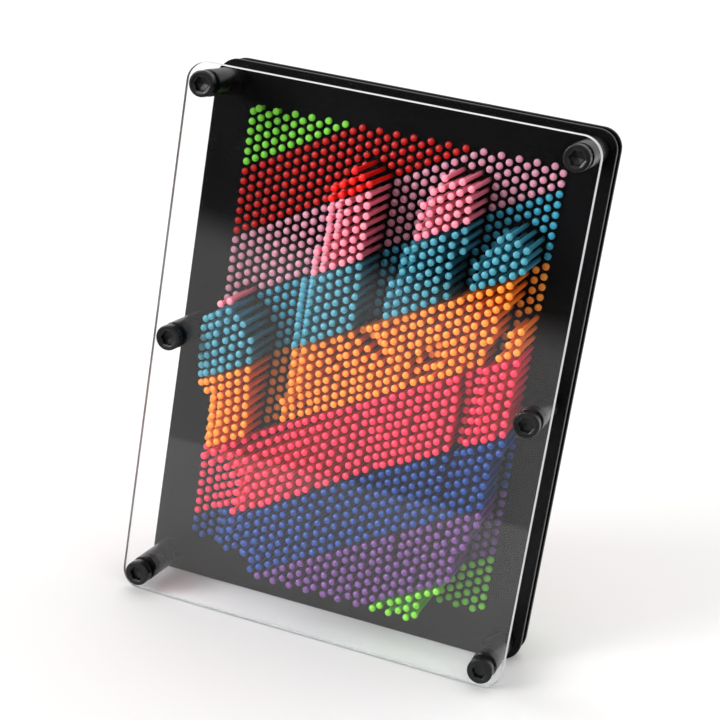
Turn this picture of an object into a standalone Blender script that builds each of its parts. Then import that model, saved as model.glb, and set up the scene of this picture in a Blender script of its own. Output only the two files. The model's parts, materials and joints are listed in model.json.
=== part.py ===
"""Pin art impression toy: a clear sheet and two drilled black plates, held apart by six posts.

The pins slide through the two plates along Y. They stand in slanted rows of one colour each,
so pins are named by column (0 at the left) and by slanted row (0 at the top left corner).
Pins that travel together are one block with the outline of the group, and the plates have
a window for each block. The clear sheet faces -Y, and the toy stands on its plates' lower edges.
"""

import math

import bmesh
import bpy

MM = 0.001

# Clear sheet and plates
BOARD_WIDTH = 150 * MM
BOARD_HEIGHT = 200 * MM
CORNER_RADIUS = 7.5 * MM
CLEAR_THICKNESS = 3.0 * MM
PLATE_THICKNESS = 2.5 * MM
PLATE_SPACING = 6.0 * MM
CHAMBER_DEPTH = 25.4 * MM
SEAT_GAP = 0.3 * MM

# Posts
POST_INSET = 7.6 * MM
CAP_DIAMETER = 9.3 * MM
CAP_LENGTH = 3.6 * MM
CAP_CHAMFER = 0.4 * MM
SOCKET_ACROSS_CORNERS = 5.4 * MM
SOCKET_DEPTH = 2.2 * MM
SHANK_DIAMETER = 4.0 * MM
SHANK_CLEARANCE = 0.3 * MM
FRONT_SHANK_REACH = 8.0 * MM
REAR_SHANK_REACH = 8.0 * MM
SPACER_DIAMETER = 9.6 * MM
ROUND_SEGMENTS = 20

# Pin field
COLUMNS = 37
LEVELS = 90
SIDE_MARGIN = 16.68 * MM
TOP_MARGIN = 15.55 * MM
BOTTOM_MARGIN = 17.5 * MM
HEAD_GAP = 0.48 * MM
HEAD_THICKNESS = 1.2 * MM
SHAFT_DIAMETER = 1.75 * MM
PIN_LENGTH = 40.0 * MM
PIN_SEGMENTS = 12
WINDOW_CLEARANCE = 0.3 * MM

# Relief of the hand. Its places are for pins at these steps and this top, and its heights for
# pins that travel as far as FULL_TRAVEL, so that it stays with the pins when the boards change
HAND_COLUMN_STEP = 3.24 * MM
HAND_LEVEL_STEP = 1.855 * MM
HAND_TOP = 84.45 * MM
FULL_TRAVEL = 23.6 * MM
PALM_HEIGHT = 22.7 * MM
RELIEF_LIMIT = 23.3 * MM
SLOPE_TOP = 6.6 * MM
SINGLE_PIN_HEIGHT = 3.3 * MM

# Sizes that follow from those above
COLUMN_PITCH = (BOARD_WIDTH - 2 * SIDE_MARGIN) / (COLUMNS - 1)
HALF_PITCH = (BOARD_HEIGHT - TOP_MARGIN - BOTTOM_MARGIN) / LEVELS
FIELD_TOP = BOARD_HEIGHT / 2 - TOP_MARGIN
SLANT_DISTANCE = 2 * HALF_PITCH * COLUMN_PITCH / math.hypot(COLUMN_PITCH, HALF_PITCH)
CLOSEST_ROWS = min(COLUMN_PITCH, SLANT_DISTANCE)
HEAD_DIAMETER = CLOSEST_ROWS - HEAD_GAP
HEAD_INSET = HEAD_GAP / 2
SHAFT_INSET = (CLOSEST_ROWS - SHAFT_DIAMETER) / 2
WINDOW_INSET = SHAFT_INSET - WINDOW_CLEARANCE
POST_HOLE_DIAMETER = SHANK_DIAMETER + 2 * SHANK_CLEARANCE
PIN_HOLE_DIAMETER = SHAFT_DIAMETER + 2 * WINDOW_CLEARANCE

# Stations along Y, counted back from the front of the caps and then centred
CLEAR_FRONT = CAP_LENGTH + SEAT_GAP
CLEAR_BACK = CLEAR_FRONT + CLEAR_THICKNESS
PLATE_FRONT = CLEAR_BACK + CHAMBER_DEPTH
PLATE_BACK = PLATE_FRONT + PLATE_THICKNESS
REAR_PLATE_FRONT = PLATE_BACK + PLATE_SPACING
REAR_PLATE_BACK = REAR_PLATE_FRONT + PLATE_THICKNESS
HEAD_FRONT = PLATE_FRONT - SEAT_GAP - HEAD_THICKNESS
TRAVEL = HEAD_FRONT - CLEAR_BACK - SEAT_GAP
RELIEF_SCALE = TRAVEL / FULL_TRAVEL
DEPTH = HEAD_FRONT + PIN_LENGTH
CENTRE_HEIGHT = BOARD_HEIGHT / 2

# First and last slanted row of each colour
BANDS = {
    "green": (0, 5),
    "red": (6, 12),
    "pink": (13, 19),
    "teal": (20, 26),
    "orange": (27, 34),
    "rose": (35, 42),
    "blue": (43, 49),
    "purple": (50, 56),
    "lime": (57, 62),
}

COLOURS = {
    "green": (0.13, 0.56, 0.05),
    "red": (0.60, 0.004, 0.003),
    "pink": (0.80, 0.20, 0.30),
    "teal": (0.03, 0.22, 0.31),
    "orange": (0.90, 0.25, 0.02),
    "rose": (0.75, 0.03, 0.07),
    "blue": (0.02, 0.07, 0.28),
    "purple": (0.16, 0.06, 0.26),
    "lime": (0.13, 0.56, 0.05),
}

# Fingers: tip and root of the centre line, half width, heights at tip and root, the shares of the
# length where the height starts and ends its change, and the drops at the left and right edge
FINGERS = {
    "thumb": ((-47.6 * MM, 14.0 * MM), (-43.4 * MM, -34.0 * MM), 11 * MM, 22.3 * MM, 16.6 * MM)
    + (0.3, 0.9, 2.7 * MM, 4.0 * MM),
    "index": ((-9.1 * MM, 71.5 * MM), (-13.0 * MM, 6.6 * MM), 10 * MM, 22.6 * MM, 19.7 * MM)
    + (0.05, 0.7, 0.3 * MM, 0.7 * MM),
    "middle": ((27.5 * MM, 75.2 * MM), (16.2 * MM, 17.7 * MM), 10 * MM, 22.6 * MM, 22.3 * MM)
    + (0.2, 0.5, 2.7 * MM, 4.4 * MM),
    "ring": ((49.6 * MM, 61.3 * MM), (40.5 * MM, 14.0 * MM), 9 * MM, 23.3 * MM, 21.8 * MM)
    + (0.2, 0.75, 3.7 * MM, 1.9 * MM),
    "little": ((59.9 * MM, 28.8 * MM), (56.7 * MM, -30.0 * MM), 9 * MM, 22.8 * MM, 22.7 * MM)
    + (0.0, 1.0, 2.0 * MM, 2.0 * MM),
}

# Hollows of the palm: depth, centre, half sizes along and across, and the angle of the first
HOLLOWS = {
    "cup": (5.7 * MM, (9 * MM, -32 * MM), 16.5 * MM, 20 * MM, math.radians(-9)),
    "thumb_web": (11 * MM, (-29.5 * MM, -27.7 * MM), 26 * MM, 9.3 * MM, math.radians(34)),
    "knuckles": (5.1 * MM, (-17 * MM, 12 * MM), 60 * MM, 34 * MM, math.radians(-27)),
}

# Pressed blocks: body, colour, then runs of (first row, last row, first column, last column)
PRESSED = {
    "thumb_tip_pink": ("thumb", "pink", [(19, 19, 2, 3)]),
    "thumb_teal": ("thumb", "teal", [(20, 20, 0, 3), (21, 21, 0, 4), (22, 23, 0, 5), (24, 26, 0, 6)]),
    "thumb_orange": ("thumb", "orange", [(27, 27, 0, 6), (28, 28, 1, 6), (29, 34, 2, 6)]),
    "index_red": ("index", "red", [(10, 10, 15, 15), (11, 11, 13, 16), (12, 12, 13, 17)]),
    "index_pink": ("index", "pink", [(13, 16, 13, 17), (17, 19, 12, 17)]),
    "index_teal": ("index", "teal", [(20, 26, 11, 17)]),
    "middle_pink": ("middle", "pink", [(14, 14, 25, 25), (15, 15, 24, 27), (16, 19, 23, 28)]),
    "middle_teal": ("middle", "teal", [(20, 22, 22, 28), (23, 26, 21, 27)]),
    "ring_teal": ("ring", "teal", [(22, 22, 32, 33), (23, 23, 31, 34), (24, 26, 30, 35)]),
    "ring_orange": ("ring", "orange", [(27, 29, 30, 34), (30, 31, 30, 33)]),
    "little_orange": ("little", "orange", [(32, 33, 35, 36), (34, 34, 34, 36)]),
    "little_rose": ("little", "rose", [(35, 42, 34, 36)]),
    "palm_orange": ("palm", "orange", [(27, 31, 11, 29), (32, 32, 10, 33), (33, 34, 10, 32)]),
    "palm_rose": (
        "palm",
        "rose",
        [(35, 35, 2, 33), (36, 36, 3, 33), (37, 37, 5, 33), (38, 38, 6, 33), (39, 42, 7, 33)],
    ),
    "heel_blue": ("heel", "blue", [(43, 44, 7, 36), (45, 45, 8, 35), (46, 47, 9, 35), (48, 49, 10, 35)]),
    "heel_purple": ("heel", "purple", [(50, 51, 11, 35), (52, 53, 11, 34), (54, 56, 11, 33)]),
    "heel_lime": ("heel", "lime", [(57, 57, 25, 32), (58, 58, 27, 30), (59, 59, 29, 30)]),
}

# The other pins, block by block: body, colour, first and last column
UNPRESSED = {
    "upper_green": ("upper_field", "green", 0, 36),
    "upper_red": ("upper_field", "red", 0, 36),
    "upper_pink_left": ("upper_field", "pink", 0, 14),
    "upper_pink_right": ("upper_field", "pink", 15, 36),
    "upper_teal_left": ("upper_field", "teal", 0, 14),
    "upper_teal_middle": ("upper_field", "teal", 15, 23),
    "upper_teal_right": ("upper_field", "teal", 24, 36),
    "upper_orange_left": ("upper_field", "orange", 7, 15),
    "upper_orange_right": ("upper_field", "orange", 16, 36),
    "left_orange": ("left_field", "orange", 0, 6),
    "left_rose": ("left_field", "rose", 0, 20),
    "left_blue": ("left_field", "blue", 0, 20),
    "right_blue": ("right_field", "blue", 21, 36),
    "right_purple": ("right_field", "purple", 21, 36),
    "right_lime": ("right_field", "lime", 21, 36),
}
SINGLE_PIN = (1, 0)


def pin_level(column, row):
    """Half pitches from the top of the field down to a pin."""
    return 2 * row + 1 - column


def on_board(column, row):
    """Place of a column and slanted row on the board, from its centre: x to the right, z up."""
    x = (column - (COLUMNS - 1) / 2) * COLUMN_PITCH
    return x, FIELD_TOP - pin_level(column, row) * HALF_PITCH


def run_cells(runs):
    """The pins that lie in runs of rows and columns and in the field."""
    cells = set()
    for first_row, last_row, first_column, last_column in runs:
        for row in range(first_row, last_row + 1):
            for column in range(first_column, last_column + 1):
                if 0 <= pin_level(column, row) <= LEVELS:
                    cells.add((column, row))
    return cells


def pin_groups():
    """Every block's body, colour and pins. What isn't pressed is left in the unpressed blocks."""
    groups = {}
    taken = {SINGLE_PIN}
    for name, (body, colour, runs) in PRESSED.items():
        cells = run_cells(runs) - taken
        taken |= cells
        groups[name] = (body, colour, cells)
    for name, (body, colour, first_column, last_column) in UNPRESSED.items():
        first_row, last_row = BANDS[colour]
        cells = run_cells([(first_row, last_row, first_column, last_column)]) - taken
        taken |= cells
        groups[name] = (body, colour, cells)
    return groups


def hand_place(column, row):
    """Where a column and slanted row are under the hand, from the middle of the board."""
    x = (column - (COLUMNS - 1) / 2) * HAND_COLUMN_STEP
    return x, HAND_TOP - pin_level(column, row) * HAND_LEVEL_STEP


def finger_height(finger, x, z):
    """Height of a finger: an eased slope from tip to root, less the cube of the way to its edge."""
    tip, root, half_width, tip_height, root_height, start, end, left_drop, right_drop = FINGERS[finger]
    along_x, along_z = root[0] - tip[0], root[1] - tip[1]
    length = math.hypot(along_x, along_z)
    share = min(max(((x - tip[0]) * along_x + (z - tip[1]) * along_z) / length**2, 0), 1)
    eased = min(max((share - start) / (end - start), 0), 1)
    eased = eased * eased * (3 - 2 * eased)
    off = ((z - tip[1]) * along_x - (x - tip[0]) * along_z) / length
    drop = right_drop if off > 0 else left_drop
    height = tip_height + (root_height - tip_height) * eased
    return min(height - drop * abs(off / half_width) ** 3, RELIEF_LIMIT)


def palm_height(x, z):
    """Height of the palm and heel: level, less each oval hollow, which fades out as a bell curve."""
    height = PALM_HEIGHT
    for depth, centre, long_half, short_half, angle in HOLLOWS.values():
        dx, dz = x - centre[0], z - centre[1]
        along = dx * math.cos(angle) + dz * math.sin(angle)
        across = dz * math.cos(angle) - dx * math.sin(angle)
        height -= depth * math.exp(-((along / long_half) ** 2) - (across / short_half) ** 2)
    return height


def block_height(name, body, cells):
    """How far a block stands out of the front plate: as far as its highest pin."""
    height = 0.0
    if body in FINGERS:
        height = max(finger_height(body, *hand_place(*cell)) for cell in cells)
    elif name in PRESSED:
        height = max(palm_height(*hand_place(*cell)) for cell in cells)
    elif name in ("left_rose", "left_blue"):
        height = SLOPE_TOP
    elif name == "upper_green":
        height = SINGLE_PIN_HEIGHT
    return height * RELIEF_SCALE


def cell_outline(cells):
    """The closed outline round a group of cells, anticlockwise on the board, corners only."""
    edges = set()
    for column, row in cells:
        left, right, up, down = column - 0.5, column + 0.5, row - 0.5, row + 0.5
        corners = [(left, up), (left, down), (right, down), (right, up)]
        edges |= {(corners[i], corners[(i + 1) % 4]) for i in range(4)}
    following = {start: end for start, end in edges if (end, start) not in edges}
    first = min(following)
    loop = [first]
    while following[loop[-1]] != first:
        loop.append(following[loop[-1]])
    corners = []
    for i, point in enumerate(loop):
        before, after = loop[i - 1], loop[(i + 1) % len(loop)]
        if (point[0] - before[0]) * (after[1] - point[1]) != (point[1] - before[1]) * (after[0] - point[0]):
            corners.append(on_board(*point))
    return corners


def inset_outline(points, inset):
    """The same outline with every side moved inwards, for sides that run anticlockwise."""
    moved = []
    for i, point in enumerate(points):
        before, after = points[i - 1], points[(i + 1) % len(points)]
        sides = []
        for start, end in ((before, point), (point, after)):
            dx, dz = end[0] - start[0], end[1] - start[1]
            length = math.hypot(dx, dz)
            sides.append((-dz / length, dx / length))
        (ax, az), (bx, bz) = sides
        scale = inset / (1 + ax * bx + az * bz)
        moved.append((point[0] + (ax + bx) * scale, point[1] + (az + bz) * scale))
    return moved


def circle_outline(x, z, diameter, segments):
    """A circle on the board as an even polygon."""
    angles = [2 * math.pi * i / segments for i in range(segments)]
    return [(x + math.cos(a) * diameter / 2, z + math.sin(a) * diameter / 2) for a in angles]


def rounded_rectangle(width, height, radius, steps=6):
    """A rectangle about the board's centre with an arc of equal steps at each corner."""
    points = []
    quarter_turns = [(1, 1, 0), (-1, 1, 1), (-1, -1, 2), (1, -1, 3)]
    for side_x, side_z, turn in quarter_turns:
        for step in range(steps + 1):
            angle = (turn + step / steps) * math.pi / 2
            x = side_x * (width / 2 - radius) + radius * math.cos(angle)
            z = side_z * (height / 2 - radius) + radius * math.sin(angle)
            points.append((x, z))
    return points


def post_places():
    """Name, x and z of each post: three down each side."""
    x = BOARD_WIDTH / 2 - POST_INSET
    z = BOARD_HEIGHT / 2 - POST_INSET
    return [
        (f"{level}_{side}", place_x, place_z)
        for level, place_z in (("top", z), ("middle", 0.0), ("bottom", -z))
        for side, place_x in (("left", -x), ("right", x))
    ]


def plastic(name, colour, roughness=0.4, alpha=1.0, metallic=0.0):
    """A Principled material in one colour."""
    material = bpy.data.materials.new(name)
    material.use_nodes = True
    shader = material.node_tree.nodes["Principled BSDF"]
    shader.inputs["Base Color"].default_value = (*colour, 1)
    shader.inputs["Roughness"].default_value = roughness
    shader.inputs["Metallic"].default_value = metallic
    shader.inputs["Alpha"].default_value = alpha
    return material


def place(obj, collection, material, x, y, z):
    """Puts an upright piece in its place, y counted from the front of the caps."""
    collection.objects.link(obj)
    obj.data.materials.append(material)
    obj.location = (x, y - DEPTH / 2, z + CENTRE_HEIGHT)
    obj.rotation_euler = (math.pi / 2, 0, 0)
    return obj


def cut_sheet(name, outline, holes, thickness):
    """A flat piece with straight sides: an outline and its holes, extruded."""
    curve = bpy.data.curves.new(name, "CURVE")
    curve.dimensions = "2D"
    curve.fill_mode = "BOTH"
    curve.extrude = thickness / 2
    for loop in [outline, *holes]:
        spline = curve.splines.new("POLY")
        spline.points.add(len(loop) - 1)
        spline.use_cyclic_u = True
        for point, (x, z) in zip(spline.points, loop):
            point.co = (x, z, 0, 1)
    return bpy.data.objects.new(name, curve)


def turned(name, profile, segments):
    """A turned piece along Z: a half outline from top to bottom, with a Screw modifier."""
    mesh = bpy.data.meshes.new(name)
    mesh.from_pydata([(r, 0, z) for r, z in profile], [(i, i + 1) for i in range(len(profile) - 1)], [])
    obj = bpy.data.objects.new(name, mesh)
    turn = obj.modifiers.new("turn", "SCREW")
    turn.axis = "Z"
    turn.steps = segments
    turn.render_steps = segments
    turn.use_merge_vertices = True
    turn.merge_threshold = 0.00001
    return obj


def cap_screw(name, shank_length):
    """A cap screw along +Z, its chamfered head ending at 0 and its plain shank below."""
    head, shank = CAP_DIAMETER / 2, SHANK_DIAMETER / 2
    profile = [
        (0, 0),
        (head - CAP_CHAMFER, 0),
        (head, -CAP_CHAMFER),
        (head, -CAP_LENGTH),
        (shank, -CAP_LENGTH),
        (shank, -CAP_LENGTH - shank_length),
        (0, -CAP_LENGTH - shank_length),
    ]
    return turned(name, profile, ROUND_SEGMENTS)


def socket_mesh():
    """The hexagon of a cap's socket, as deep above its mouth as below."""
    shape = bmesh.new()
    radius = SOCKET_ACROSS_CORNERS / 2
    bmesh.ops.create_cone(
        shape, cap_ends=True, segments=6, radius1=radius, radius2=radius, depth=2 * SOCKET_DEPTH
    )
    mesh = bpy.data.meshes.new("socket_hexagon")
    shape.to_mesh(mesh)
    shape.free()
    return mesh


def cut_socket(cap, hexagon, cutters):
    """Cuts the hexagon socket into a placed cap screw's head."""
    cutter = bpy.data.objects.new(f"socket_of_{cap.name}", hexagon)
    cutters.objects.link(cutter)
    cutter.parent = cap
    cutter.hide_render = True
    cutter.display_type = "WIRE"
    cut = cap.modifiers.new("socket", "BOOLEAN")
    cut.object = cutter
    cut.operation = "DIFFERENCE"
    cut.solver = "EXACT"


def block_mesh(name, cells, origin):
    """A block of pins along +Z about origin: a slab of heads, then the shafts, narrower all round."""
    outline = inset_outline(cell_outline(cells), HEAD_INSET)
    shape = bmesh.new()
    front = shape.faces.new([shape.verts.new((x - origin[0], z - origin[1], 0)) for x, z in outline])
    slab = bmesh.ops.extrude_face_region(shape, geom=[front])["geom"]
    back = [f for f in slab if isinstance(f, bmesh.types.BMFace)]
    bmesh.ops.translate(shape, verts=back[0].verts, vec=(0, 0, -HEAD_THICKNESS))
    bmesh.ops.inset_region(shape, faces=back, thickness=SHAFT_INSET - HEAD_INSET, use_even_offset=True)
    shafts = bmesh.ops.extrude_face_region(shape, geom=back)["geom"]
    end = [f for f in shafts if isinstance(f, bmesh.types.BMFace)]
    bmesh.ops.translate(shape, verts=end[0].verts, vec=(0, 0, HEAD_THICKNESS - PIN_LENGTH))
    bmesh.ops.delete(shape, geom=back, context="FACES_ONLY")
    bmesh.ops.recalc_face_normals(shape, faces=shape.faces)
    mesh = bpy.data.meshes.new(name)
    shape.to_mesh(mesh)
    shape.free()
    return mesh


def make_single_pin(name):
    """One pin along +Z: a domed head and a round shaft."""
    head, shaft = HEAD_DIAMETER / 2, SHAFT_DIAMETER / 2
    profile = [
        (0, 0),
        (0.6 * head, -0.12 * HEAD_THICKNESS),
        (head, -0.5 * HEAD_THICKNESS),
        (head, -HEAD_THICKNESS),
        (shaft, -HEAD_THICKNESS),
        (shaft, -PIN_LENGTH),
        (0, -PIN_LENGTH),
    ]
    return turned(name, profile, PIN_SEGMENTS)


def make_frame(collection, cutters, groups):
    """The clear sheet, the two drilled plates and the six posts."""
    clear = plastic("clear_acrylic", (0.9, 0.93, 0.95), roughness=0.05, alpha=0.25)
    black = plastic("black_plate", (0.012, 0.012, 0.014), roughness=0.25)
    hardware = plastic("black_hardware", (0.008, 0.008, 0.009), roughness=0.3)
    board = rounded_rectangle(BOARD_WIDTH, BOARD_HEIGHT, CORNER_RADIUS)
    posts = post_places()
    post_holes = [circle_outline(x, z, POST_HOLE_DIAMETER, ROUND_SEGMENTS) for _, x, z in posts]
    windows = [inset_outline(cell_outline(cells), WINDOW_INSET) for _, _, cells in groups.values()]
    windows.append(circle_outline(*on_board(*SINGLE_PIN), PIN_HOLE_DIAMETER, PIN_SEGMENTS))

    sheet = cut_sheet("clear_front_sheet", board, post_holes, CLEAR_THICKNESS)
    place(sheet, collection, clear, 0, (CLEAR_FRONT + CLEAR_BACK) / 2, 0)
    plates = (("front_pin_plate", PLATE_FRONT), ("rear_pin_plate", REAR_PLATE_FRONT))
    for name, front in plates:
        plate = cut_sheet(name, board, post_holes + windows, PLATE_THICKNESS)
        place(plate, collection, black, 0, front + PLATE_THICKNESS / 2, 0)

    front_shank = SEAT_GAP + CLEAR_THICKNESS + FRONT_SHANK_REACH
    rear_shank = SEAT_GAP + REAR_PLATE_BACK - PLATE_FRONT + REAR_SHANK_REACH
    hexagon = socket_mesh()
    ring = circle_outline(0, 0, SPACER_DIAMETER, ROUND_SEGMENTS)
    bore = circle_outline(0, 0, POST_HOLE_DIAMETER, ROUND_SEGMENTS)
    for where, x, z in posts:
        front = cap_screw(f"front_cap_screw_{where}", front_shank)
        place(front, collection, hardware, x, 0, z)
        cut_socket(front, hexagon, cutters)
        rear = cap_screw(f"rear_cap_screw_{where}", rear_shank)
        place(rear, collection, hardware, x, REAR_PLATE_BACK + SEAT_GAP + CAP_LENGTH, z)
        rear.rotation_euler = (-math.pi / 2, 0, 0)
        cut_socket(rear, hexagon, cutters)
        long_spacer = cut_sheet(f"long_spacer_{where}", ring, [bore], CHAMBER_DEPTH - 2 * SEAT_GAP)
        place(long_spacer, collection, hardware, x, CLEAR_BACK + CHAMBER_DEPTH / 2, z)
        short_spacer = cut_sheet(f"short_spacer_{where}", ring, [bore], PLATE_SPACING - 2 * SEAT_GAP)
        place(short_spacer, collection, hardware, x, PLATE_BACK + PLATE_SPACING / 2, z)


def body_empty(collection, body, cells):
    """An empty on the slide axis of a body, in the middle of its pins."""
    places = [on_board(*cell) for cell in cells]
    x = sum(p[0] for p in places) / len(places)
    z = sum(p[1] for p in places) / len(places)
    empty = bpy.data.objects.new(f"{body}_slide", None)
    collection.objects.link(empty)
    empty.location = (x, PLATE_FRONT - DEPTH / 2, z + CENTRE_HEIGHT)
    return empty, (x, z)


def make_pins(collection, groups):
    """The blocks of pins, each under its body's empty, and the one pin that moves alone."""
    materials = {name: plastic(f"pins_{name}", colour) for name, colour in COLOURS.items()}
    for body in sorted({body for body, _, _ in groups.values()}):
        blocks = {name: group for name, group in groups.items() if group[0] == body}
        cells = set().union(*(group[2] for group in blocks.values()))
        empty, origin = body_empty(collection, body, cells)
        for name, (_, colour, block_cells) in blocks.items():
            block = bpy.data.objects.new(name, block_mesh(name, block_cells, origin))
            collection.objects.link(block)
            block.data.materials.append(materials[colour])
            block.parent = empty
            height = block_height(name, body, block_cells)
            block.location = (0, HEAD_FRONT - height - PLATE_FRONT, 0)
            block.rotation_euler = (math.pi / 2, 0, 0)
    pin = make_single_pin("single_pin")
    x, z = on_board(*SINGLE_PIN)
    place(pin, collection, materials["green"], x, HEAD_FRONT - SINGLE_PIN_HEIGHT * RELIEF_SCALE, z)


def build():
    """Clears the scene and makes the toy."""
    for obj in list(bpy.data.objects):
        bpy.data.objects.remove(obj)
    collection = bpy.data.collections.new("pin_art_toy")
    cutters = bpy.data.collections.new("cutters")
    for made in (collection, cutters):
        bpy.context.scene.collection.children.link(made)
    groups = pin_groups()
    make_frame(collection, cutters, groups)
    make_pins(collection, groups)


build()
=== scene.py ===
"""Pin art impression toy: rainbow pins in two drilled plates behind a clear sheet, with a hand in them."""

import json
import math

import bpy
import numpy as np
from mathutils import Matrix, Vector
from mathutils.bvhtree import BVHTree
from mathutils.geometry import delaunay_2d_cdt


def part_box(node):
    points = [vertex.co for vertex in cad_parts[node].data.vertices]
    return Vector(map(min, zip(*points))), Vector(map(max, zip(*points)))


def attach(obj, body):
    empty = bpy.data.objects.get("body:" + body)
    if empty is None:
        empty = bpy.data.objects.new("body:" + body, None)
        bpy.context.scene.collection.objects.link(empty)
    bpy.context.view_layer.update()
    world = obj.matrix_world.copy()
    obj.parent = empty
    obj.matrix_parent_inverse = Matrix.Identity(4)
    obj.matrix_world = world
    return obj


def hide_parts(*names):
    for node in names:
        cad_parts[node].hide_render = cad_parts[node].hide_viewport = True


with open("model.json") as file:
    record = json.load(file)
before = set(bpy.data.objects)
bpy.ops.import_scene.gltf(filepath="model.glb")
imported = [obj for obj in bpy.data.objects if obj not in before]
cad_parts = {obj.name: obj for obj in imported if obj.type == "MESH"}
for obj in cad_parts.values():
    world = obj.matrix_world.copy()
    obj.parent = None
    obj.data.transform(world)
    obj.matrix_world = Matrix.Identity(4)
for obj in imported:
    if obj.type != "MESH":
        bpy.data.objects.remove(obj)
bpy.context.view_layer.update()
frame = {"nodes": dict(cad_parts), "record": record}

MM = 0.001

# --- Camera -----------------------------------------------------------------------------------
# A long lens from the right of the toy and above it, tipped a little to one side, so that the
# toy's top seems to lean to the right.

lens = bpy.data.cameras.new("camera_lens")
lens.sensor_width = 36
lens.lens = 85.8
lens.clip_start = 0.02
lens.clip_end = 60
camera = bpy.data.objects.new("camera", lens)
camera.location = (168.0 * MM, -591.0 * MM, 262.4 * MM)
camera.rotation_euler = tuple(math.radians(turn) for turn in (74.96, -8.88, 18.67))
bpy.context.scene.collection.objects.link(camera)
bpy.context.scene.camera = camera

# --- Floor, light and a card for a painted dark reflection --------------------------------------
# A white table in a white room, under a soft lamp from above and a stronger one that is low, in
# front and to the left. A dark card in front, which only glossy and transmitted rays see, paints a
# dark reflection into the glossy pieces.


class Wire:
    """An output socket in a material. Arithmetic on it adds Math nodes, and make adds any other."""

    def __init__(self, tree, socket=None):
        self.tree = tree
        self.socket = socket

    def make(self, kind, settings=None, inputs=None, output=0):
        """A new node: its type, its settings first, then the values or wires of its sockets."""
        node = self.tree.nodes.new(kind)
        for name, value in (settings or {}).items():
            setattr(node, name, value)
        for name, value in (inputs or {}).items():
            if isinstance(value, Wire):
                self.tree.links.new(value.socket, node.inputs[name])
            else:
                node.inputs[name].default_value = value
        return Wire(self.tree, node.outputs[output])

    def math(self, operation, first, second):
        return self.make("ShaderNodeMath", {"operation": operation}, {0: first, 1: second})

    def __add__(self, other):
        return self.math("ADD", self, other)

    def __mul__(self, other):
        return self.math("MULTIPLY", self, other)

    def clear_of(self, low, high):
        """How far the value is from low to high, held between 0 and 1 and eased."""
        settings = {"interpolation_type": "SMOOTHSTEP"}
        values = {"Value": self, "From Min": low, "From Max": high}
        return self.make("ShaderNodeMapRange", settings, values)

    def blend(self, first, second):
        """A colour between two others, at this wire's value."""
        inputs = {"Factor": self, 6: first, 7: second}
        return self.make("ShaderNodeMix", {"data_type": "RGBA"}, inputs, output=2)

    __radd__ = __add__
    __rmul__ = __mul__


def new_finish(name):
    """An empty material, with a wire to build on and its output node."""
    finish = bpy.data.materials.new(name)
    finish.use_nodes = True
    tree = finish.node_tree
    tree.nodes.clear()
    return finish, Wire(tree), tree.nodes.new("ShaderNodeOutputMaterial")


def grain(start, scale, detail=3.0, roughness=0.5, stretch=(1, 1, 1)):
    """Noise in the piece's own space, in metres, with a stretch along each axis."""
    spot = start.make("ShaderNodeTexCoord", output="Object")
    spot = start.make("ShaderNodeMapping", None, {"Vector": spot, "Scale": stretch})
    inputs = {"Vector": spot, "Scale": scale, "Detail": detail, "Roughness": roughness}
    return start.make("ShaderNodeTexNoise", None, inputs)


def flat_quad(name, corners, finish, z):
    """A level four-sided surface."""
    mesh = bpy.data.meshes.new(name)
    mesh.from_pydata([(x, y, z) for x, y in corners], [], [(0, 1, 2, 3)])
    mesh.materials.append(finish)
    surface = bpy.data.objects.new(name, mesh)
    bpy.context.scene.collection.objects.link(surface)
    return surface


TABLE_WHITE = (0.945, 0.94, 0.94, 1)
TABLE_LEVEL = -0.2 * MM
CARD_LEVEL = 1.5 * MM
CARD_WAY = (0.327, -0.945, 0)
CARD_FADE_START = 0.47
CARD_FADE_END = 0.62
CARD_NEAR_DARKNESS = 0.38
table_finish, start, out = new_finish("white_table")
paint = start.make("ShaderNodeBsdfDiffuse", None, {"Color": TABLE_WHITE})
start.tree.links.new(paint.socket, out.inputs["Surface"])
flat_quad("table", [(-12, -12), (12, -12), (12, 12), (-12, 12)], table_finish, TABLE_LEVEL)

# The dark card, which paints a dark reflection, starts 0.2 m in front of the toy's middle. Its near
# part is 38% dark, and it gets all dark between two slanted lines that are 0.47 and 0.62 m from there.
painted_reflection_finish, start, out = new_finish("painted_reflection_dark")
place = start.make("ShaderNodeTexCoord", output="Object")
across = start.make("ShaderNodeVectorMath", {"operation": "DOT_PRODUCT"}, {0: place, 1: CARD_WAY}, 1)
fade = across.clear_of(CARD_FADE_START, CARD_FADE_END) * (1 - CARD_NEAR_DARKNESS) + CARD_NEAR_DARKNESS
clear = start.make("ShaderNodeBsdfTransparent")
black = start.make("ShaderNodeBsdfDiffuse", None, {"Color": (0.008, 0.008, 0.009, 1)})
mixed = start.make("ShaderNodeMixShader", None, {0: fade, 1: clear, 2: black})
start.tree.links.new(mixed.socket, out.inputs["Surface"])
card_corners = [(-8, -10), (8, -10), (8, -0.2), (-8, -0.2)]
dark_card = flat_quad("painted_reflection_dark_card", card_corners, painted_reflection_finish, CARD_LEVEL)
# Only glossy and transmitted rays see the card, so it is a painted dark reflection and casts no shade.
for sees in ("camera", "diffuse", "volume_scatter", "shadow"):
    setattr(dark_card, f"visible_{sees}", False)

world = bpy.data.worlds.new("white_room")
world.use_nodes = True
world.node_tree.nodes["Background"].inputs["Color"].default_value = (1, 0.995, 0.99, 1)
world.node_tree.nodes["Background"].inputs["Strength"].default_value = 0.74
bpy.context.scene.world = world
bpy.context.scene.view_settings.view_transform = "Standard"


def far_lamp(name, place, strength, spread, colour=(1, 1, 1)):
    """A broad lamp that is far off, in the direction of a place seen from the toy."""
    light = bpy.data.lights.new(name, "SUN")
    light.energy = strength
    light.angle = math.radians(spread)
    light.color = colour
    lamp = bpy.data.objects.new(name, light)
    lamp.rotation_euler = Vector(place).to_track_quat("Z", "Y").to_euler()
    bpy.context.scene.collection.objects.link(lamp)


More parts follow.
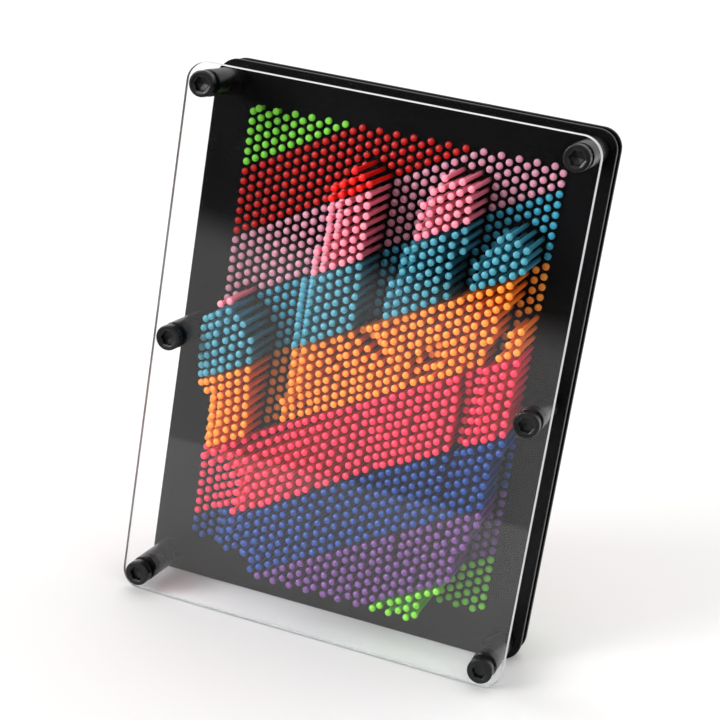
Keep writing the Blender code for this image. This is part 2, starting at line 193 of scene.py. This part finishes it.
far_lamp("key_lamp", (-0.8, -1.0, 0.33), 2.4, 26)
far_lamp("top_lamp", (-0.1, 0.5, 1.0), 0.9, 60, (1, 0.99, 0.97))

# --- Clear front sheet --------------------------------------------------------------------------
# A 3 mm cast acrylic sheet with flame-polished edges, round corners and six screw holes. It
# keeps the pins from coming out in front.

CORNER_RADIUS = 7.5 * MM
EDGE_ROUND = 0.35 * MM
RIM_STEPS = 8
SCREW_HOLE_RADIUS = 2.3 * MM
ACRYLIC_BEND = 1.49

posts = {
    name.removeprefix("long_spacer_"): (sum(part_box(name), Vector()) / 2)
    for name in frame["nodes"]
    if name.startswith("long_spacer_")
}


def ring(x, z, radius, count):
    """Points evenly round a circle in the board's plane."""
    angle = np.arange(count) * 2 * np.pi / count
    return np.column_stack([x + radius * np.cos(angle), z + radius * np.sin(angle)])


def board_edge(low, high, radius, steps=12):
    """A rectangle in the board's plane with each corner turned about a centre radius inside it."""
    quarter = np.linspace(0, np.pi / 2, steps + 1)
    loops = []
    corners = [(high.x, high.z), (low.x, high.z), (low.x, low.z), (high.x, low.z)]
    for turn, (x, z) in enumerate(corners):
        centre_x = x - math.copysign(radius, x)
        centre_z = z + (radius if z < (low.z + high.z) / 2 else -radius)
        angle = quarter + turn * np.pi / 2
        across, up = radius * np.cos(angle), radius * np.sin(angle)
        loops.append(np.column_stack([centre_x + across, centre_z + up]))
    return np.vstack(loops)


def drilled_board(name, low, high, holes):
    """A board between two corners with holes through it.

    Each face is the flat triangulation of the outline and the hole rings, less the triangles whose
    corners are all on one ring. The walls join the front rings to the back ones. The outer edge is
    half an oval of rings, each further out than the faces by the rounding times the cosine of its
    angle. The two faces are shaded flat, so that they mirror as planes.
    """
    rounding = Vector((EDGE_ROUND, 0, EDGE_ROUND))
    inner_low, inner_high = low + rounding, high - rounding
    loops = [board_edge(inner_low, inner_high, CORNER_RADIUS - EDGE_ROUND), *holes]
    points = np.vstack(loops)
    ring_of = np.repeat(np.arange(len(loops)), [len(loop) for loop in loops])
    sides, first = [], 0
    for loop in loops:
        number = np.arange(len(loop))
        sides.append(np.column_stack([first + number, first + (number + 1) % len(loop)]))
        first += len(loop)
    joined = np.vstack(sides)
    flat = delaunay_2d_cdt([Vector(p) for p in points], joined.tolist(), [], 0, 1e-7, True)
    source = np.array([s[0] for s in flat[3]])
    faces = source[np.array(flat[2])]
    rings = ring_of[faces]
    solid = ~((rings[:, 0] == rings[:, 1]) & (rings[:, 1] == rings[:, 2]) & (rings[:, 0] > 0))
    faces = faces[solid]
    a, b, c = (points[faces[:, i]] for i in range(3))
    turned = np.cross(b - a, c - a) < 0
    faces[turned] = faces[turned][:, ::-1]
    count = len(points)
    front = np.column_stack([points[:, 0], np.full(count, low.y), points[:, 1]])
    back = front + (0, high.y - low.y, 0)
    holes_joined = joined[len(loops[0]) :]
    walls = np.column_stack([holes_joined, holes_joined[:, ::-1] + count])

    around = len(loops[0])
    rims = []
    for step in range(1, RIM_STEPS):
        angle = math.pi * step / RIM_STEPS - math.pi / 2
        out_by = EDGE_ROUND * math.cos(angle)
        y = (low.y + high.y) / 2 + (high.y - low.y) / 2 * math.sin(angle)
        edge_low = inner_low - Vector((out_by, 0, out_by))
        edge_high = inner_high + Vector((out_by, 0, out_by))
        loop = board_edge(edge_low, edge_high, CORNER_RADIUS - EDGE_ROUND + out_by)
        rims.append(np.column_stack([loop[:, 0], np.full(around, y), loop[:, 1]]))
    number = np.arange(around)
    after = (number + 1) % around
    starts = [0] + [2 * count + around * i for i in range(RIM_STEPS - 1)] + [count]
    rim_walls = [
        np.column_stack([one + number, one + after, other + after, other + number])
        for one, other in zip(starts, starts[1:])
    ]
    corners = np.vstack([front, back, *rims])
    triangles = np.vstack([faces, faces[:, ::-1] + count])
    quads = np.vstack([walls, *[wall[:, ::-1] for wall in rim_walls]])
    board = put_mesh(name, corners, triangles, quads)
    facing = np.empty(len(board.data.polygons) * 3, np.float32)
    board.data.polygons.foreach_get("normal", facing)
    flat_faces = board.data.attributes.new("sharp_face", "BOOLEAN", "FACE")
    flat_faces.data.foreach_set("value", np.abs(facing[1::3]) > 0.999)
    return board


def mark_rim(piece, slot_number):
    """Gives the outer edge of a board the finish in another slot.

    That is what faces outwards and neither front nor back, and is no further in from the box than
    a rounded corner is at its middle.
    """
    mesh = piece.data
    facing = np.empty(len(mesh.polygons) * 3, np.float32)
    centre = np.empty(len(mesh.polygons) * 3, np.float32)
    mesh.polygons.foreach_get("normal", facing)
    mesh.polygons.foreach_get("center", centre)
    facing, centre = facing.reshape(-1, 3), centre.reshape(-1, 3)
    outwards = (facing * (centre - centre.mean(0) * (1, 0, 1)))[:, ::2].sum(1) > 0
    rim = (np.abs(facing[:, 1]) < 0.98) & outwards
    high, low = centre.max(0), centre.min(0)
    corner_cut = CORNER_RADIUS * 0.31
    near = np.minimum(high - centre, centre - low)[:, ::2].min(1) < corner_cut
    mesh.polygons.foreach_set("material_index", (rim & near).astype(np.int32) * slot_number)


def put_mesh(name, corners, triangles, quads, smooth_angle=40):
    """A mesh object from arrays of corners, triangles and four-sided faces."""
    mesh = bpy.data.meshes.new(name)
    mesh.vertices.add(len(corners))
    mesh.vertices.foreach_set("co", np.asarray(corners, np.float32).ravel())
    mesh.loops.add(3 * len(triangles) + 4 * len(quads))
    around_faces = np.concatenate([triangles.ravel(), quads.ravel()]).astype(np.int32)
    mesh.loops.foreach_set("vertex_index", around_faces)
    mesh.polygons.add(len(triangles) + len(quads))
    sizes = np.concatenate([np.full(len(triangles), 3), np.full(len(quads), 4)])
    starts = np.concatenate([[0], np.cumsum(sizes)[:-1]]).astype(np.int32)
    mesh.polygons.foreach_set("loop_start", starts)
    mesh.update(calc_edges=True)
    mesh.validate()
    mesh.shade_smooth()
    mesh.set_sharp_from_angle(angle=math.radians(smooth_angle))
    piece = bpy.data.objects.new(name, mesh)
    bpy.context.scene.collection.objects.link(piece)
    return piece


post_rings = [ring(p.x, p.z, SCREW_HOLE_RADIUS, count=32) for p in posts.values()]
sheet = drilled_board("clear_sheet", *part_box("clear_front_sheet"), post_rings)

acrylic, start, out = new_finish("clear_acrylic")
haze = grain(start, 14, 2.0).clear_of(0.45, 0.75)
smudged = haze * 0.012 + 0.003
glass = start.make(
    "ShaderNodeBsdfPrincipled",
    None,
    {
        "Base Color": (0.985, 0.99, 0.99, 1),
        "Roughness": smudged,
        "IOR": ACRYLIC_BEND,
        "Transmission Weight": 1.0,
    },
)
lamp_ray = start.make("ShaderNodeLightPath", output="Is Shadow Ray")
see_through = start.make("ShaderNodeBsdfTransparent", None, {"Color": (0.94, 0.95, 0.95, 1)})
mixed = start.make("ShaderNodeMixShader", None, {0: lamp_ray, 1: glass, 2: see_through})
start.tree.links.new(mixed.socket, out.inputs["Surface"])
sheet.data.materials.append(acrylic)

polished_edge, start, out = new_finish("polished_edge")
streaks = grain(start, 260, 3.0, 0.6, (1, 0.1, 1))
tone = streaks.blend((0.50, 0.52, 0.53, 1), (0.74, 0.76, 0.76, 1))
skin = start.make(
    "ShaderNodeBsdfPrincipled",
    None,
    {"Base Color": tone, "Roughness": streaks * 0.2 + 0.12, "IOR": ACRYLIC_BEND},
)
start.tree.links.new(skin.socket, out.inputs["Surface"])
sheet.data.materials.append(polished_edge)
mark_rim(sheet, slot_number=1)
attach(sheet, "frame")
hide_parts("clear_front_sheet")

# --- Pins' places -------------------------------------------------------------------------------
# The pins stand in 37 columns, every second one half a step higher, which makes slanted rows.
# A row number counts from the top left corner, and each colour takes six to eight rows.

COLUMNS = 37
LEVELS = 91
COLUMN_STEP = 3.24 * MM
HALF_STEP = 1.855 * MM
FIELD_TOP = 184.45 * MM
PIN_HOLE_RADIUS = 1.175 * MM

column, level = np.meshgrid(np.arange(COLUMNS), np.arange(LEVELS))
drilled = (column + level) % 2 == 1
column, level = column[drilled], level[drilled]
row = (column + level - 1) // 2
pin_x = (column - (COLUMNS - 1) / 2) * COLUMN_STEP
pin_z = FIELD_TOP - level * HALF_STEP

# --- Pin plates ---------------------------------------------------------------------------------
# Two moulded black plates with the same 1,683 holes. The screws and the short tubes hold them
# 6 mm apart, which keeps each pin nearly square to them.

plastic_black, start, out = new_finish("black_plate")
swirl = grain(start, 60, 4.0, 0.6)
dust = grain(start, 1400, 2.0, 0.7).clear_of(0.70, 0.78)
scuff = grain(start, 300, 3.0, 0.6, (1, 1, 6)).clear_of(0.62, 0.8)
tone = (dust * 0.35).blend((0.0022, 0.0022, 0.0026, 1), (0.06, 0.06, 0.062, 1))
relief = grain(start, 2600, 2.0) * 0.25 + swirl * 0.5
bump = start.make("ShaderNodeBump", None, {"Strength": 0.06, "Distance": 0.0002, "Height": relief})
skin = start.make(
    "ShaderNodeBsdfPrincipled",
    None,
    {
        "Base Color": tone,
        "Roughness": swirl * 0.10 + scuff * 0.12 + 0.20,
        "IOR": 1.48,
        "Specular IOR Level": 0.14,
        "Normal": bump,
    },
)
start.tree.links.new(skin.socket, out.inputs["Surface"])

pin_rings = [ring(x, z, PIN_HOLE_RADIUS, count=12) for x, z in zip(pin_x, pin_z)]
for node in ("front_pin_plate", "rear_pin_plate"):
    plate = drilled_board(f"drilled_{node}", *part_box(node), post_rings + pin_rings)
    plate.data.materials.append(plastic_black)
    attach(plate, "frame")
    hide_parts(node)

# --- Posts --------------------------------------------------------------------------------------
# Six black posts, each of a cap screw in front, a long tube, a short tube between the plates and
# a cap screw behind. The caps have rounded rims and hexagon sockets for a key.

AROUND = 48
HEX_ACROSS_FLATS = 4.7 * MM
SOCKET_RADIUS = HEX_ACROSS_FLATS / 2 / math.cos(math.pi / 6)
SOCKET_DEPTH = 2.1 * MM
SOCKET_MOUTH = 0.25 * MM
HEAD_LENGTH = 3.6 * MM
HEAD_ROUNDING = 0.45 * MM
HEAD_BACK_CHAMFER = 0.2 * MM
SHANK_RADIUS = 2.0 * MM
SHANK_CHAMFER = 0.4 * MM
TUBE_ROUNDING = 0.3 * MM


def turned_piece(name, place, profile, facing):
    """A piece turned about the Y axis through a place: rings of a profile, joined in turn.

    Each profile row is a radius, a depth behind the front end and a share of a hexagon. A ring's
    radius is the circle's, drawn towards the hexagon's flats by the share. facing is 1 for a
    piece whose first ring is its nearest to the front, or -1 for its mirror image.
    """
    angle = np.arange(AROUND) * 2 * np.pi / AROUND
    apothem_share = math.cos(math.pi / 6) / np.cos((angle % (np.pi / 3)) - np.pi / 6)
    radius, depth, hexagon = (np.array(part)[:, None] for part in zip(*profile))
    reach = radius * (1 + hexagon * (apothem_share - 1))
    x = place[0] + reach * np.cos(angle)
    z = place[2] + reach * np.sin(angle)
    y = place[1] + facing * depth + 0 * angle
    corners = np.stack([x, y, z], -1).reshape(-1, 3)
    count = len(profile)
    at = np.arange(count * AROUND).reshape(count, AROUND)
    after = np.roll(at, -1, 1)
    quads = np.stack([at[:-1], after[:-1], after[1:], at[1:]], -1).reshape(-1, 4)
    first, last = len(corners), len(corners) + 1
    ends = [(place[0], place[1] + facing * profile[i][1], place[2]) for i in (0, -1)]
    corners = np.vstack([corners, ends])
    caps = np.vstack(
        [
            np.column_stack([np.full(AROUND, first), after[0], at[0]]),
            np.column_stack([np.full(AROUND, last), at[-1], after[-1]]),
        ]
    )
    if facing < 0:
        quads, caps = quads[:, ::-1], caps[:, ::-1]
    return put_mesh(name, corners, caps, quads, smooth_angle=50)


def rounded_rim(radius, depth, size, steps=6):
    """Profile rows round the front rim of a disc: a quarter circle of the given size."""
    turns = np.linspace(0, math.pi / 2, steps)
    flat = radius - size
    return [(flat + size * math.sin(t), depth + size - size * math.cos(t), 0.0) for t in turns]


def tube_mesh(name, low, high, bore):
    """A tube along Y between two corners of its box, with rounded rims, as one closed surface."""
    middle = (low + high) / 2
    radius, length = (high.x - low.x) / 2, high.y - low.y
    outer = rounded_rim(radius, 0.0, TUBE_ROUNDING)
    outer += [(r, length - d, h) for r, d, h in reversed(outer)]
    profile = outer + [(bore, length, 0.0), (bore, 0.0, 0.0)]
    angle = np.arange(AROUND) * 2 * np.pi / AROUND
    r, d = (np.array([row[i] for row in profile])[:, None] for i in (0, 1))
    x, z = middle.x + r * np.cos(angle), middle.z + r * np.sin(angle)
    corners = np.stack([x, low.y + d + 0 * angle, z], -1)
    at = np.arange(len(profile) * AROUND).reshape(len(profile), AROUND)
    after = np.roll(at, -1, 1)
    below, below_after = np.roll(at, -1, 0), np.roll(after, -1, 0)
    quads = np.stack([at, after, below_after, below], -1).reshape(-1, 4)
    return put_mesh(name, corners.reshape(-1, 3), np.zeros((0, 3), int), quads, smooth_angle=50)


hardware, start, out = new_finish("black_hardware")
cloud = grain(start, 90, 4.0, 0.6)
brushed = grain(start, 700, 3.0, 0.6, (1, 0.15, 1))
height = grain(start, 3200, 2.0) * 0.4 + brushed * 0.6
bump = start.make("ShaderNodeBump", None, {"Strength": 0.10, "Distance": 0.0002, "Height": height})
tone = cloud.clear_of(0.4, 0.75).blend((0.0025, 0.0025, 0.003, 1), (0.008, 0.008, 0.009, 1))
skin = start.make(
    "ShaderNodeBsdfPrincipled",
    None,
    {
        "Base Color": tone,
        "Roughness": cloud * 0.15 + 0.20,
        "IOR": 1.5,
        "Specular IOR Level": 0.3,
        "Normal": bump,
    },
)
start.tree.links.new(skin.socket, out.inputs["Surface"])


def finish_post_piece(piece, node):
    """The finish and the place in the frame that all the posts' pieces share."""
    piece.data.materials.append(hardware)
    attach(piece, "frame")
    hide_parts(node)


for where, middle in posts.items():
    for kind, facing in (("front_cap_screw", 1), ("rear_cap_screw", -1)):
        node = f"{kind}_{where}"
        low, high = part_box(node)
        head_radius = (high.x - low.x) / 2
        length = high.y - low.y
        profile = [
            (0.1 * MM, SOCKET_DEPTH + 0.4 * MM, 0.0),
            (SOCKET_RADIUS * 0.6, SOCKET_DEPTH + 0.1 * MM, 1.0),
            (SOCKET_RADIUS, SOCKET_DEPTH, 1.0),
            (SOCKET_RADIUS, SOCKET_MOUTH, 1.0),
            (SOCKET_RADIUS + SOCKET_MOUTH, 0.0, 0.7),
            (head_radius - HEAD_ROUNDING - 0.3 * MM, 0.0, 0.0),
            *rounded_rim(head_radius, 0.0, HEAD_ROUNDING),
            (head_radius, HEAD_LENGTH - HEAD_BACK_CHAMFER, 0.0),
            (head_radius - HEAD_BACK_CHAMFER, HEAD_LENGTH, 0.0),
            (SHANK_RADIUS, HEAD_LENGTH, 0.0),
            (SHANK_RADIUS, length - SHANK_CHAMFER, 0.0),
            (SHANK_RADIUS - SHANK_CHAMFER, length, 0.0),
        ]
        front = low.y if facing > 0 else high.y
        cap = turned_piece(f"{kind}_fine_{where}", (middle.x, front, middle.z), profile, facing)
        finish_post_piece(cap, node)
    for kind in ("long_spacer", "short_spacer"):
        node = f"{kind}_{where}"
        tube = tube_mesh(f"{kind}_fine_{where}", *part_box(node), SCREW_HOLE_RADIUS)
        finish_post_piece(tube, node)

# --- Relief of the hand -------------------------------------------------------------------------
# How far each pin stands out from its lowest place. A hand pressed the pins forwards from behind:
# four fingers and a thumb up to the clear sheet, and a palm that is hollow in its middle.

CENTRE_Z = 100 * MM
LIMIT = 23.2 * MM

# For each finger, in mm: its tip and its root as x and height from the boards' middle, half its
# width, its relief at the tip and at the root, the shares of its length where the change between
# them starts and ends, and how much less its two edges stand out (left, then right).
FINGERS = {
    "thumb": ((-47.6, 14.0), (-43.4, -34.0), 11, 22.3, 16.6, 0.3, 0.9, 2.7, 4.0),
    "index": ((-9.1, 71.5), (-13.0, 6.6), 10, 22.6, 19.7, 0.05, 0.7, 0.3, 0.7),
    "middle": ((27.5, 75.2), (16.2, 17.7), 10, 22.6, 22.3, 0.2, 0.5, 2.7, 4.4),
    "ring": ((49.6, 61.3), (40.5, 14.0), 9, 23.3, 21.8, 0.2, 0.75, 3.7, 1.9),
    "little": ((59.9, 28.8), (56.7, -30.0), 9, 22.8, 22.7, 0.0, 1.0, 2.0, 2.0),
}

# For each hollow, in mm: its depth, its centre, half its length and width, and its slant in degrees.
HOLLOWS = {
    "cup": (5.7, (9, -32), 16.5, 20, -9),
    "thumb_web": (11, (-29.5, -27.7), 26, 9.3, 34),
    "knuckles": (5.1, (-17, 12), 60, 34, -27),
    "little_cleft": (9.5, (43, -4), 20, 2.6, 86),
    "ring_cleft": (9.0, (26.5, 12.5), 6.5, 2.6, 55),
    "index_cleft": (9.0, (4.5, 13.5), 6.5, 2.6, -30),
}
PALM_HEIGHT = 22.7
HEEL_CREASE_SHARE = 0.5
FIRST_SLOPE_ROW = 38
FIRST_BLUE_ROW = 43
SLOPE_COLUMN_RISE = 1.3
SLOPE_ROW_RISE = 0.35
SLOPE_TOP = 6.4

# The single pins at the top left that stand out a little, as column and row: height in mm.
STRAY_PINS = {(2, 1): 1.5, (3, 1): 3.0, (1, 0): 3.3}


def finger_relief(name, x, z):
    """Eased from the tip's height to the root's along the finger, less the edge drop times the cube
    of how far out the place is, as a share of the finger's half width."""
    tip, root, half_width, tip_height, root_height, begin, end, left, right = FINGERS[name]
    along = np.subtract(root, tip)
    length = np.hypot(*along)
    share = np.clip(((x - tip[0]) * along[0] + (z - tip[1]) * along[1]) / length**2, 0, 1)
    eased = np.clip((share - begin) / (end - begin), 0, 1)
    eased = eased * eased * (3 - 2 * eased)
    off = ((z - tip[1]) * along[0] - (x - tip[0]) * along[1]) / length
    drop = np.where(off > 0, right, left) * np.abs(off / half_width) ** 3
    return tip_height + (root_height - tip_height) * eased - drop


def palm_relief(x, z):
    """Level, less each oval hollow, which fades out as a bell curve."""
    height = np.full(len(x), PALM_HEIGHT)
    for depth, (centre_x, centre_z), long_half, short_half, degrees in HOLLOWS.values():
        turn = math.radians(degrees)
        dx, dz = x - centre_x, z - centre_z
        along = dx * math.cos(turn) + dz * math.sin(turn)
        across = dz * math.cos(turn) - dx * math.sin(turn)
        height -= depth * np.exp(-((along / long_half) ** 2) - (across / short_half) ** 2)
    return height


def creases(x, z):
    """Fine folds of the skin: three crossing waves, each one less the absolute value of a sine, to
    a power that makes its ridge narrow."""
    first = np.abs(np.sin(0.21 * x + 0.32 * z + 1.1 * np.sin(0.09 * x)))
    second = np.abs(np.sin(0.37 * x - 0.17 * z + 0.6))
    third = np.abs(np.sin(0.11 * x + 0.07 * z * np.cos(0.05 * x) + 0.4))
    return 0.9 * (1 - first) ** 2 + 0.6 * (1 - second) ** 2 + 1.6 * (1 - third) ** 4


def slope_relief(columns, rows):
    """The lower left pins climb towards the hand, a little more with each column and row."""
    rows_down = np.maximum(rows - FIRST_SLOPE_ROW, 0)
    height = SLOPE_COLUMN_RISE * (columns - 2) + SLOPE_ROW_RISE * rows_down
    blue = rows >= FIRST_BLUE_ROW
    lifted = (rows >= FIRST_SLOPE_ROW) & (columns >= np.where(blue, 4, 3))
    return np.where(lifted, np.clip(height, 0, SLOPE_TOP), 0.0)


def pin_relief(body, chosen):
    """The height of the chosen pins of a body above their lowest place, in metres."""
    x, z = pin_x[chosen] / MM, (pin_z[chosen] - CENTRE_Z) / MM
    finger = body.removesuffix("_pins")
    if finger in FINGERS:
        height = finger_relief(finger, x, z)
    elif body in ("palm_pins", "heel_pins"):
        share = 1.0 if body == "palm_pins" else HEEL_CREASE_SHARE
        height = palm_relief(x, z) - creases(x, z) * share
    elif body == "left_field_pins":
        height = slope_relief(column[chosen], row[chosen])
    else:
        height = np.zeros(len(x))
        for (stray_column, stray_row), stray_height in STRAY_PINS.items():
            height[(column[chosen] == stray_column) & (row[chosen] == stray_row)] = stray_height
    return height * MM


# --- Pins ---------------------------------------------------------------------------------------
# Styrene pins 40 mm long, moulded in nine bright colours, whose heads have rounded rims. Each
# hangs in its two holes with a little play, so a pin that is pressed far out sags at its head.

HEAD_RADIUS = 1.37 * MM
HEAD_THICKNESS = 1.2 * MM
SHAFT_RADIUS = 0.875 * MM
PIN_LENGTH = 39.97 * MM
PIN_END_CHAMFER = 0.5 * MM
PIN_SIDES = 10
PLATE_GAP = 0.3 * MM
FULL_HEIGHT = 22 * MM
SAG = 0.038
SWAY = 0.008
UNEVENNESS = 0.45


def one_pin():
    """A pin along +Y from its head's front at 0: its corners, triangles and four-sided faces."""
    profile = [
        (0.70 * HEAD_RADIUS, 0.07 * HEAD_THICKNESS),
        (0.93 * HEAD_RADIUS, 0.26 * HEAD_THICKNESS),
        (HEAD_RADIUS, 0.58 * HEAD_THICKNESS),
        (0.96 * HEAD_RADIUS, HEAD_THICKNESS),
        (SHAFT_RADIUS, HEAD_THICKNESS),
        (SHAFT_RADIUS, PIN_LENGTH - PIN_END_CHAMFER),
        (0.55 * SHAFT_RADIUS, PIN_LENGTH),
    ]
    angle = np.arange(PIN_SIDES) * 2 * np.pi / PIN_SIDES
    radius, depth = (np.array(part)[:, None] for part in zip(*profile))
    rings = np.stack([radius * np.cos(angle), depth + 0 * angle, radius * np.sin(angle)], -1)
    corners = np.vstack([rings.reshape(-1, 3), [(0, 0, 0), (0, PIN_LENGTH, 0)]])
    at = np.arange(len(profile) * PIN_SIDES).reshape(len(profile), PIN_SIDES)
    after = np.roll(at, -1, 1)
    quads = np.stack([at[:-1], after[:-1], after[1:], at[1:]], -1).reshape(-1, 4)
    front, back = len(corners) - 2, len(corners) - 1
    caps = [
        np.column_stack([np.full(PIN_SIDES, front), after[0], at[0]]),
        np.column_stack([np.full(PIN_SIDES, back), at[-1], after[-1]]),
    ]
    return corners, np.vstack(caps), quads


PIN_CORNERS, PIN_CAPS, PIN_QUADS = one_pin()
front_plate_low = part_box("front_pin_plate")[0]
rear_plate_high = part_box("rear_pin_plate")[1]
PIVOT_Y = (front_plate_low.y + rear_plate_high.y) / 2
HEAD_FRONT_Y = front_plate_low.y - PLATE_GAP - HEAD_THICKNESS
draw = np.random.default_rng(7)
lean_aside = draw.normal(0, SWAY, len(column)).clip(-2 * SWAY, 2 * SWAY)
tint_draw = draw.random(len(column))
height_draw = draw.uniform(-UNEVENNESS, 0.0, len(column)) * MM


def pins_mesh(name, chosen, height):
    """The pins of one block: each copy slides forwards by its height, then tips about its plates.

    The tip downwards is the sag times how far out the pin is, eased. The tip sideways is the pin's
    own draw, and both are small, so that a tip by an angle moves a point by the angle times its
    distance from the plates' middle.
    """
    lift = np.clip(height / FULL_HEIGHT, 0, 1)[:, None]
    sag = SAG * lift * (2 - lift)
    aside = lean_aside[chosen][:, None] * (0.3 + 0.7 * lift)
    x0, y0, z0 = (PIN_CORNERS[:, i][None, :] for i in range(3))
    y = HEAD_FRONT_Y - height[:, None] + y0
    forward = PIVOT_Y - y
    x = pin_x[chosen][:, None] + x0 + aside * forward
    z = pin_z[chosen][:, None] + z0 - sag * forward
    y = y - sag * z0 + aside * x0
    corners = np.stack([x, y, z], -1).reshape(-1, 3)
    step = (np.arange(chosen.sum()) * len(PIN_CORNERS))[:, None, None]
    caps, quads = (PIN_CAPS + step).reshape(-1, 3), (PIN_QUADS + step).reshape(-1, 4)
    piece = put_mesh(name, corners, caps, quads, smooth_angle=50)
    shade = piece.data.attributes.new("pin_tint", "FLOAT", "POINT")
    shade.data.foreach_set("value", np.repeat(tint_draw[chosen], len(PIN_CORNERS)).astype(np.float32))
    along = piece.data.attributes.new("pin_depth", "FLOAT", "POINT")
    depth = np.tile(PIN_CORNERS[:, 1] / PIN_LENGTH, chosen.sum())
    along.data.foreach_set("value", depth.astype(np.float32))
    # How far out each pin is, as a share, which blends its head from painted shade to its lit colour.
    pressed = piece.data.attributes.new("painted_shade_lift", "FLOAT", "POINT")
    share = np.clip(height / FULL_HEIGHT * 1.6, 0, 1)
    pressed.data.foreach_set("value", np.repeat(share, len(PIN_CORNERS)).astype(np.float32))
    return piece


# Each colour on a head that is pressed out, on a head that is down with painted shade, and on a shaft.
PIN_COLOURS = {
    "green": ((0.22, 0.68, 0.04), (0.15, 0.53, 0.04), (0.10, 0.42, 0.01)),
    "red": ((0.78, 0.005, 0.003), (0.33, 0.002, 0.001), (0.66, 0.004, 0.002)),
    "pink": ((0.88, 0.235, 0.31), (0.42, 0.20, 0.27), (0.86, 0.19, 0.27)),
    "teal": ((0.055, 0.255, 0.33), (0.024, 0.24, 0.36), (0.025, 0.20, 0.29)),
    "orange": ((0.93, 0.255, 0.025), (0.72, 0.26, 0.03), (0.92, 0.18, 0.01)),
    "rose": ((0.86, 0.03, 0.085), (0.76, 0.032, 0.095), (0.80, 0.02, 0.05)),
    "blue": ((0.004, 0.042, 0.21), (0.004, 0.04, 0.19), (0.003, 0.032, 0.18)),
    "purple": ((0.12, 0.038, 0.175), (0.11, 0.043, 0.185), (0.09, 0.028, 0.15)),
    "lime": ((0.145, 0.46, 0.018), (0.11, 0.39, 0.025), (0.10, 0.42, 0.01)),
}
pin_finish = {}
for colour, (raised, low_with_painted_shade, shaft) in PIN_COLOURS.items():
    styrene, start, out = new_finish(f"pins_{colour}")
    tint = start.make("ShaderNodeAttribute", {"attribute_name": "pin_tint"}, output="Fac")
    depth = start.make("ShaderNodeAttribute", {"attribute_name": "pin_depth"}, output="Fac")
    lift = start.make("ShaderNodeAttribute", {"attribute_name": "painted_shade_lift"}, output="Fac")
    flow = grain(start, 420, 3.0, 0.55)
    # Painted shade: a head that is down takes a darker colour than one that is pressed out.
    face = lift.blend((*low_with_painted_shade, 1), (*raised, 1))
    along = depth.clear_of(0.015, 0.12) * 0.8 + tint * 0.10 + flow * 0.1
    tone = along.blend(face, (*shaft, 1))
    fine = grain(start, 5200, 2.0) * 0.5 + flow * 0.5
    bump = start.make("ShaderNodeBump", None, {"Strength": 0.12, "Distance": 0.0001, "Height": fine})
    gloss = flow * 0.16 + tint * 0.08 + 0.30
    skin = start.make(
        "ShaderNodeBsdfPrincipled",
        None,
        {"Base Color": tone, "Roughness": gloss, "IOR": 1.5, "Specular IOR Level": 0.28, "Normal": bump},
    )
    start.tree.links.new(skin.socket, out.inputs["Surface"])
    pin_finish[f"pins_{colour}"] = styrene

# Each block of the model gives way to the pins whose middles it covers, found by a ray from the
# front. A pin never stands lower than its body's way back, or higher than its block.
WAY_BACK_MARGIN = 0.02 * MM
PRESSED_FROM = 1 * MM
RAY_START = 1 * MM
RAY_REACH = 3 * MM
record = frame["record"]
slot_of = {part["node"]: part["material_slot"] for part in record["subparts"]}
way_back = {joint["child"]: -joint["range_m"][0] for joint in record["behaviour"]["joints"]}
free = np.ones(len(column), bool)
for body, nodes in record["behaviour"]["bodies"].items():
    for node in [n for n in nodes if slot_of[n].startswith("pins_")]:
        low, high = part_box(node)
        inside = free & (pin_x > low.x) & (pin_x < high.x) & (pin_z > low.z) & (pin_z < high.z)
        block = BVHTree.FromObject(frame["nodes"][node], bpy.context.evaluated_depsgraph_get())
        for number in np.flatnonzero(inside):
            start_at = Vector((pin_x[number], low.y - RAY_START, pin_z[number]))
            hit = block.ray_cast(start_at, Vector((0, 1, 0)), RAY_REACH)[0]
            inside[number] = hit is not None
        free &= ~inside
        furthest = HEAD_FRONT_Y - low.y
        height = pin_relief(body, inside)
        height += height_draw[inside] * (height > PRESSED_FROM)
        height = np.clip(height, way_back[body] + WAY_BACK_MARGIN, min(furthest, LIMIT))
        piece = pins_mesh(f"pins_{node}" if node != "single_pin" else "pin_alone", inside, height)
        piece.data.materials.append(pin_finish[slot_of[node]])
        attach(piece, body)
        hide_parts(node)
